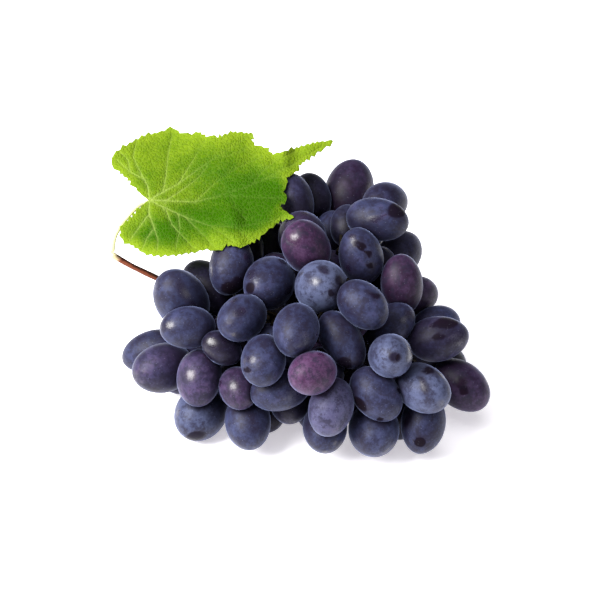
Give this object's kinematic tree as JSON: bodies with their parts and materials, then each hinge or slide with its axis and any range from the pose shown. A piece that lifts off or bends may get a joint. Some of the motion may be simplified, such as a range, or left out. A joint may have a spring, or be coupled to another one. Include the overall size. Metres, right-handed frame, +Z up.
{
  "type": "bunch of grapes",
  "caption": "Bunch of dark oval grapes lying on its side, with its stem and one lobed, toothed leaf on a thin stalk.",
  "frame": {"origin": "centre of the bounding box in plan, on the surface that the bunch lies on", "axes": "+Z up, +X to the right as seen from the front, -Y to the front"},
  "size_m": [0.1626, 0.1466, 0.0835],
  "materials": {
    "grape_skin": "waxy bloom over a smooth skin",
    "stem_wood": "matt",
    "leaf_green": "satin",
    "stalk_green": "satin"
  },
  "bodies": {
    "root": {"berries": "grape_skin", "stem": "stem_wood", "leaf": "leaf_green", "leaf_stalk": "stalk_green"}
  },
  "joints": []
}
